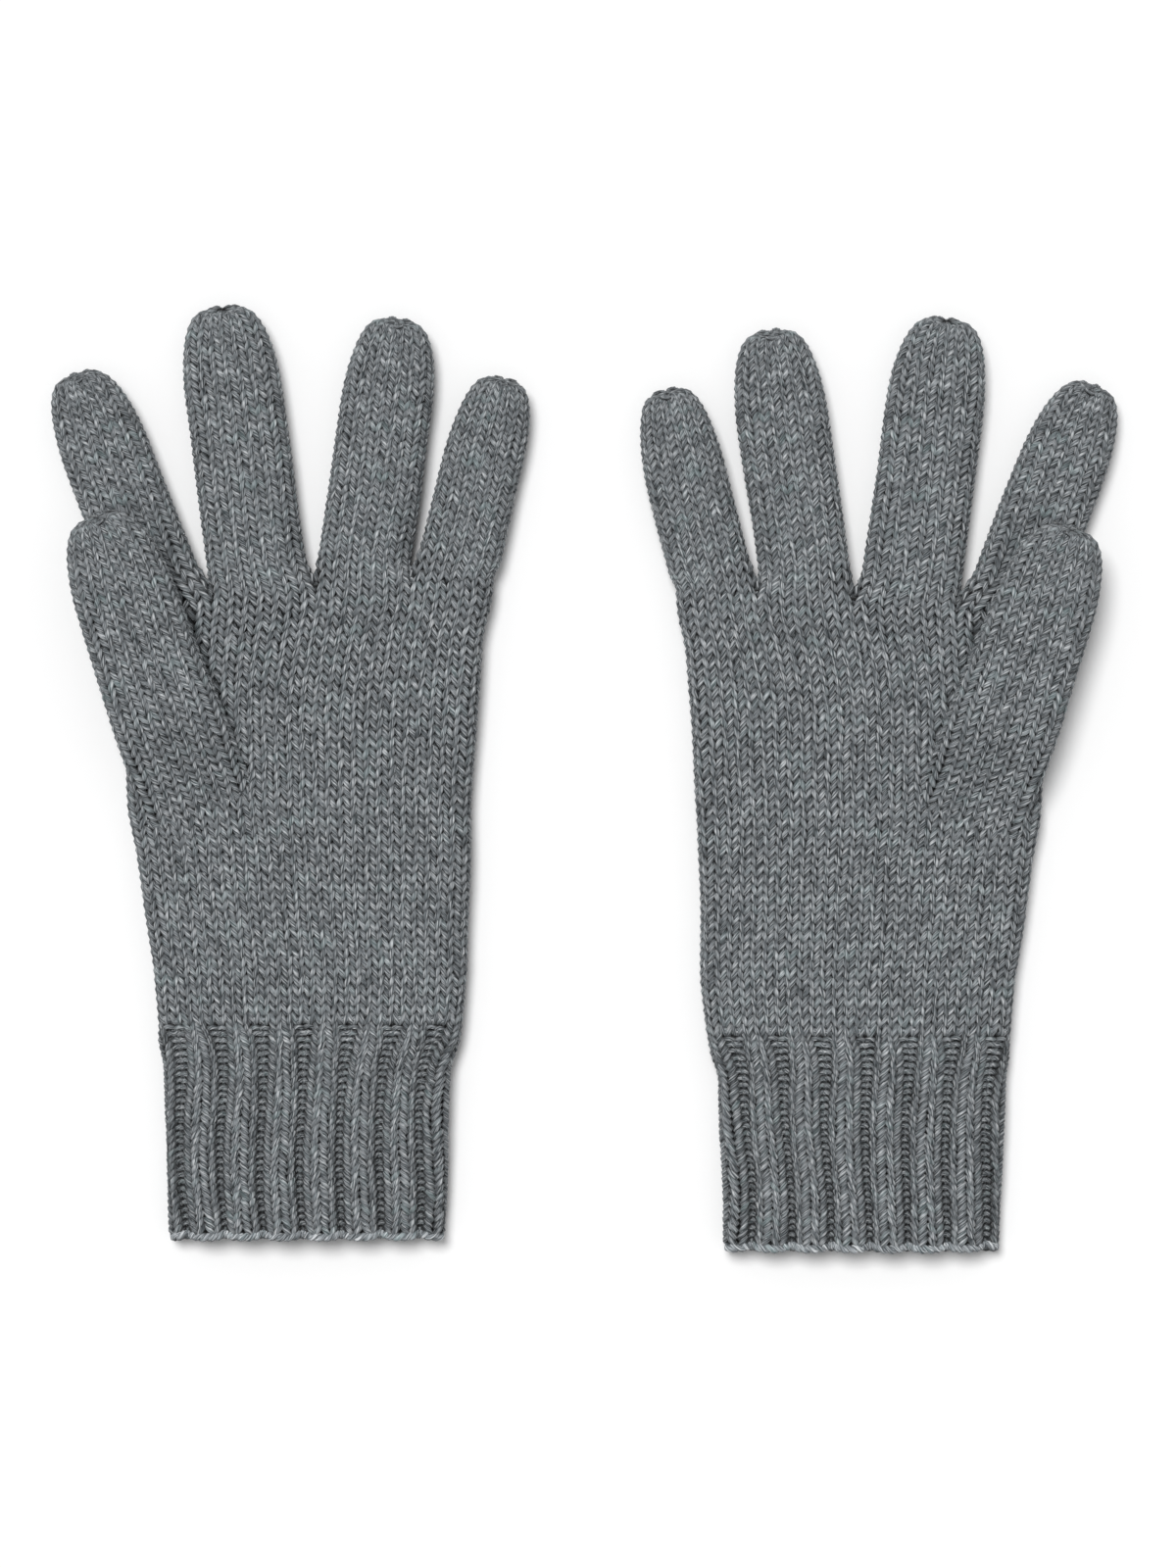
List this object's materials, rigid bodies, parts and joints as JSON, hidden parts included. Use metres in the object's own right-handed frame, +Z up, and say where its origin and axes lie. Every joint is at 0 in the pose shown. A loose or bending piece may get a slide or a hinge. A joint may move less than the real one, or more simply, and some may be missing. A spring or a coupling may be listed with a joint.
{
  "type": "pair of knitted gloves",
  "caption": "Pair of hand-knitted full-finger gloves in grey melange yarn, with ribbed cuffs and thumbs set into the palms, lying flat palm side up.",
  "frame": {"origin": "under the middle of the pair's bounding box, on the surface that the gloves lie on", "axes": "+X from the left glove to the right glove, +Y from the cuffs to the fingertips, +Z up from the backs of the hands to the palms"},
  "size_m": [0.2926, 0.2622, 0.0211],
  "materials": {
    "knit_yarn": "grey melange wool yarn in stockinette stitch, matt with short fuzz",
    "rib_yarn": "grey melange wool yarn in two by two rib, matt with short fuzz",
    "edge_yarn": "grey melange wool yarn, cast-on row",
    "closing_yarn": "grey melange wool yarn, drawn through the last stitches of a tip"
  },
  "bodies": {
    "left_hand": {"left_hand": "knit_yarn"},
    "left_cuff": {"left_cuff": "rib_yarn", "left_cast_on_edge": "edge_yarn"},
    "left_thumb": {"left_thumb": "knit_yarn", "left_thumb_tip_gather": "closing_yarn"},
    "left_index_lower": {"left_index_lower": "knit_yarn"},
    "left_index_upper": {"left_index_upper": "knit_yarn", "left_index_tip_gather": "closing_yarn"},
    "left_middle_lower": {"left_middle_lower": "knit_yarn"},
    "left_middle_upper": {"left_middle_upper": "knit_yarn", "left_middle_tip_gather": "closing_yarn"},
    "left_ring_lower": {"left_ring_lower": "knit_yarn"},
    "left_ring_upper": {"left_ring_upper": "knit_yarn", "left_ring_tip_gather": "closing_yarn"},
    "left_little_lower": {"left_little_lower": "knit_yarn"},
    "left_little_upper": {"left_little_upper": "knit_yarn", "left_little_tip_gather": "closing_yarn"},
    "right_hand": {"right_hand": "knit_yarn"},
    "right_cuff": {"right_cuff": "rib_yarn", "right_cast_on_edge": "edge_yarn"},
    "right_thumb": {"right_thumb": "knit_yarn", "right_thumb_tip_gather": "closing_yarn"},
    "right_index_lower": {"right_index_lower": "knit_yarn"},
    "right_index_upper": {"right_index_upper": "knit_yarn", "right_index_tip_gather": "closing_yarn"},
    "right_middle_lower": {"right_middle_lower": "knit_yarn"},
    "right_middle_upper": {"right_middle_upper": "knit_yarn", "right_middle_tip_gather": "closing_yarn"},
    "right_ring_lower": {"right_ring_lower": "knit_yarn"},
    "right_ring_upper": {"right_ring_upper": "knit_yarn", "right_ring_tip_gather": "closing_yarn"},
    "right_little_lower": {"right_little_lower": "knit_yarn"},
    "right_little_upper": {"right_little_upper": "knit_yarn", "right_little_tip_gather": "closing_yarn"}
  },
  "joints": [
    {"name": "left_wrist_fold", "type": "hinge", "parent": "left_hand", "child": "left_cuff", "pos_m": [-0.0765, -0.06595, 0.0052], "axis": [-1, 0, 0], "range_deg": [-60, 90]},
    {"name": "left_thumb_lift", "type": "hinge", "parent": "left_hand", "child": "left_thumb", "pos_m": [-0.10795, -0.00195, 0.0107], "axis": [0.9444, 0.3289, 0], "range_deg": [0, 90]},
    {"name": "left_index_base_fold", "type": "hinge", "parent": "left_hand", "child": "left_index_lower", "pos_m": [-0.11752, 0.05405, 0.0052], "axis": [0.9432, 0.3322, 0], "range_deg": [-45, 0]},
    {"name": "left_index_knuckle_fold", "type": "hinge", "parent": "left_index_lower", "child": "left_index_upper", "pos_m": [-0.12698, 0.08094, 0.0052], "axis": [0.9432, 0.3322, 0], "range_deg": [-30, 90]},
    {"name": "left_middle_base_fold", "type": "hinge", "parent": "left_hand", "child": "left_middle_lower", "pos_m": [-0.08894, 0.05645, 0.0052], "axis": [0.9919, 0.1271, 0], "range_deg": [-45, 70]},
    {"name": "left_middle_knuckle_fold", "type": "hinge", "parent": "left_middle_lower", "child": "left_middle_upper", "pos_m": [-0.09338, 0.09117, 0.0052], "axis": [0.9919, 0.1271, 0], "range_deg": [-30, 90]},
    {"name": "left_ring_base_fold", "type": "hinge", "parent": "left_hand", "child": "left_ring_lower", "pos_m": [-0.0602, 0.05895, 0.0052], "axis": [0.9917, -0.1288, 0], "range_deg": [-45, 70]},
    {"name": "left_ring_knuckle_fold", "type": "hinge", "parent": "left_ring_lower", "child": "left_ring_upper", "pos_m": [-0.05608, 0.09069, 0.0052], "axis": [0.9917, -0.1288, 0], "range_deg": [-30, 90]},
    {"name": "left_little_base_fold", "type": "hinge", "parent": "left_hand", "child": "left_little_lower", "pos_m": [-0.03435, 0.06045, 0.0052], "axis": [0.9748, -0.2233, 0], "range_deg": [-45, 90]},
    {"name": "left_little_knuckle_fold", "type": "hinge", "parent": "left_little_lower", "child": "left_little_upper", "pos_m": [-0.02877, 0.08482, 0.0052], "axis": [0.9748, -0.2233, 0], "range_deg": [-30, 90]},
    {"name": "right_wrist_fold", "type": "hinge", "parent": "right_hand", "child": "right_cuff", "pos_m": [0.0765, -0.06915, 0.0052], "axis": [-1, 0, 0], "range_deg": [-60, 90]},
    {"name": "right_thumb_lift", "type": "hinge", "parent": "right_hand", "child": "right_thumb", "pos_m": [0.10795, -0.00515, 0.0107], "axis": [0.9444, -0.3289, 0], "range_deg": [0, 90]},
    {"name": "right_index_base_fold", "type": "hinge", "parent": "right_hand", "child": "right_index_lower", "pos_m": [0.11752, 0.05085, 0.0052], "axis": [0.9432, -0.3322, 0], "range_deg": [-45, 0]},
    {"name": "right_index_knuckle_fold", "type": "hinge", "parent": "right_index_lower", "child": "right_index_upper", "pos_m": [0.12698, 0.07773, 0.0052], "axis": [0.9432, -0.3322, 0], "range_deg": [-30, 90]},
    {"name": "right_middle_base_fold", "type": "hinge", "parent": "right_hand", "child": "right_middle_lower", "pos_m": [0.08894, 0.05325, 0.0052], "axis": [0.9919, -0.1271, 0], "range_deg": [-45, 70]},
    {"name": "right_middle_knuckle_fold", "type": "hinge", "parent": "right_middle_lower", "child": "right_middle_upper", "pos_m": [0.09338, 0.08797, 0.0052], "axis": [0.9919, -0.1271, 0], "range_deg": [-30, 90]},
    {"name": "right_ring_base_fold", "type": "hinge", "parent": "right_hand", "child": "right_ring_lower", "pos_m": [0.0602, 0.05575, 0.0052], "axis": [0.9917, 0.1288, 0], "range_deg": [-45, 70]},
    {"name": "right_ring_knuckle_fold", "type": "hinge", "parent": "right_ring_lower", "child": "right_ring_upper", "pos_m": [0.05608, 0.08749, 0.0052], "axis": [0.9917, 0.1288, 0], "range_deg": [-30, 90]},
    {"name": "right_little_base_fold", "type": "hinge", "parent": "right_hand", "child": "right_little_lower", "pos_m": [0.03435, 0.05725, 0.0052], "axis": [0.9748, 0.2233, 0], "range_deg": [-45, 90]},
    {"name": "right_little_knuckle_fold", "type": "hinge", "parent": "right_little_lower", "child": "right_little_upper", "pos_m": [0.02877, 0.08162, 0.0052], "axis": [0.9748, 0.2233, 0], "range_deg": [-30, 90]},
    {"name": "pair_spacing", "type": "slide", "parent": "left_hand", "child": "right_hand", "axis": [1, 0, 0], "range_m": [0, 0.1]}
  ]
}
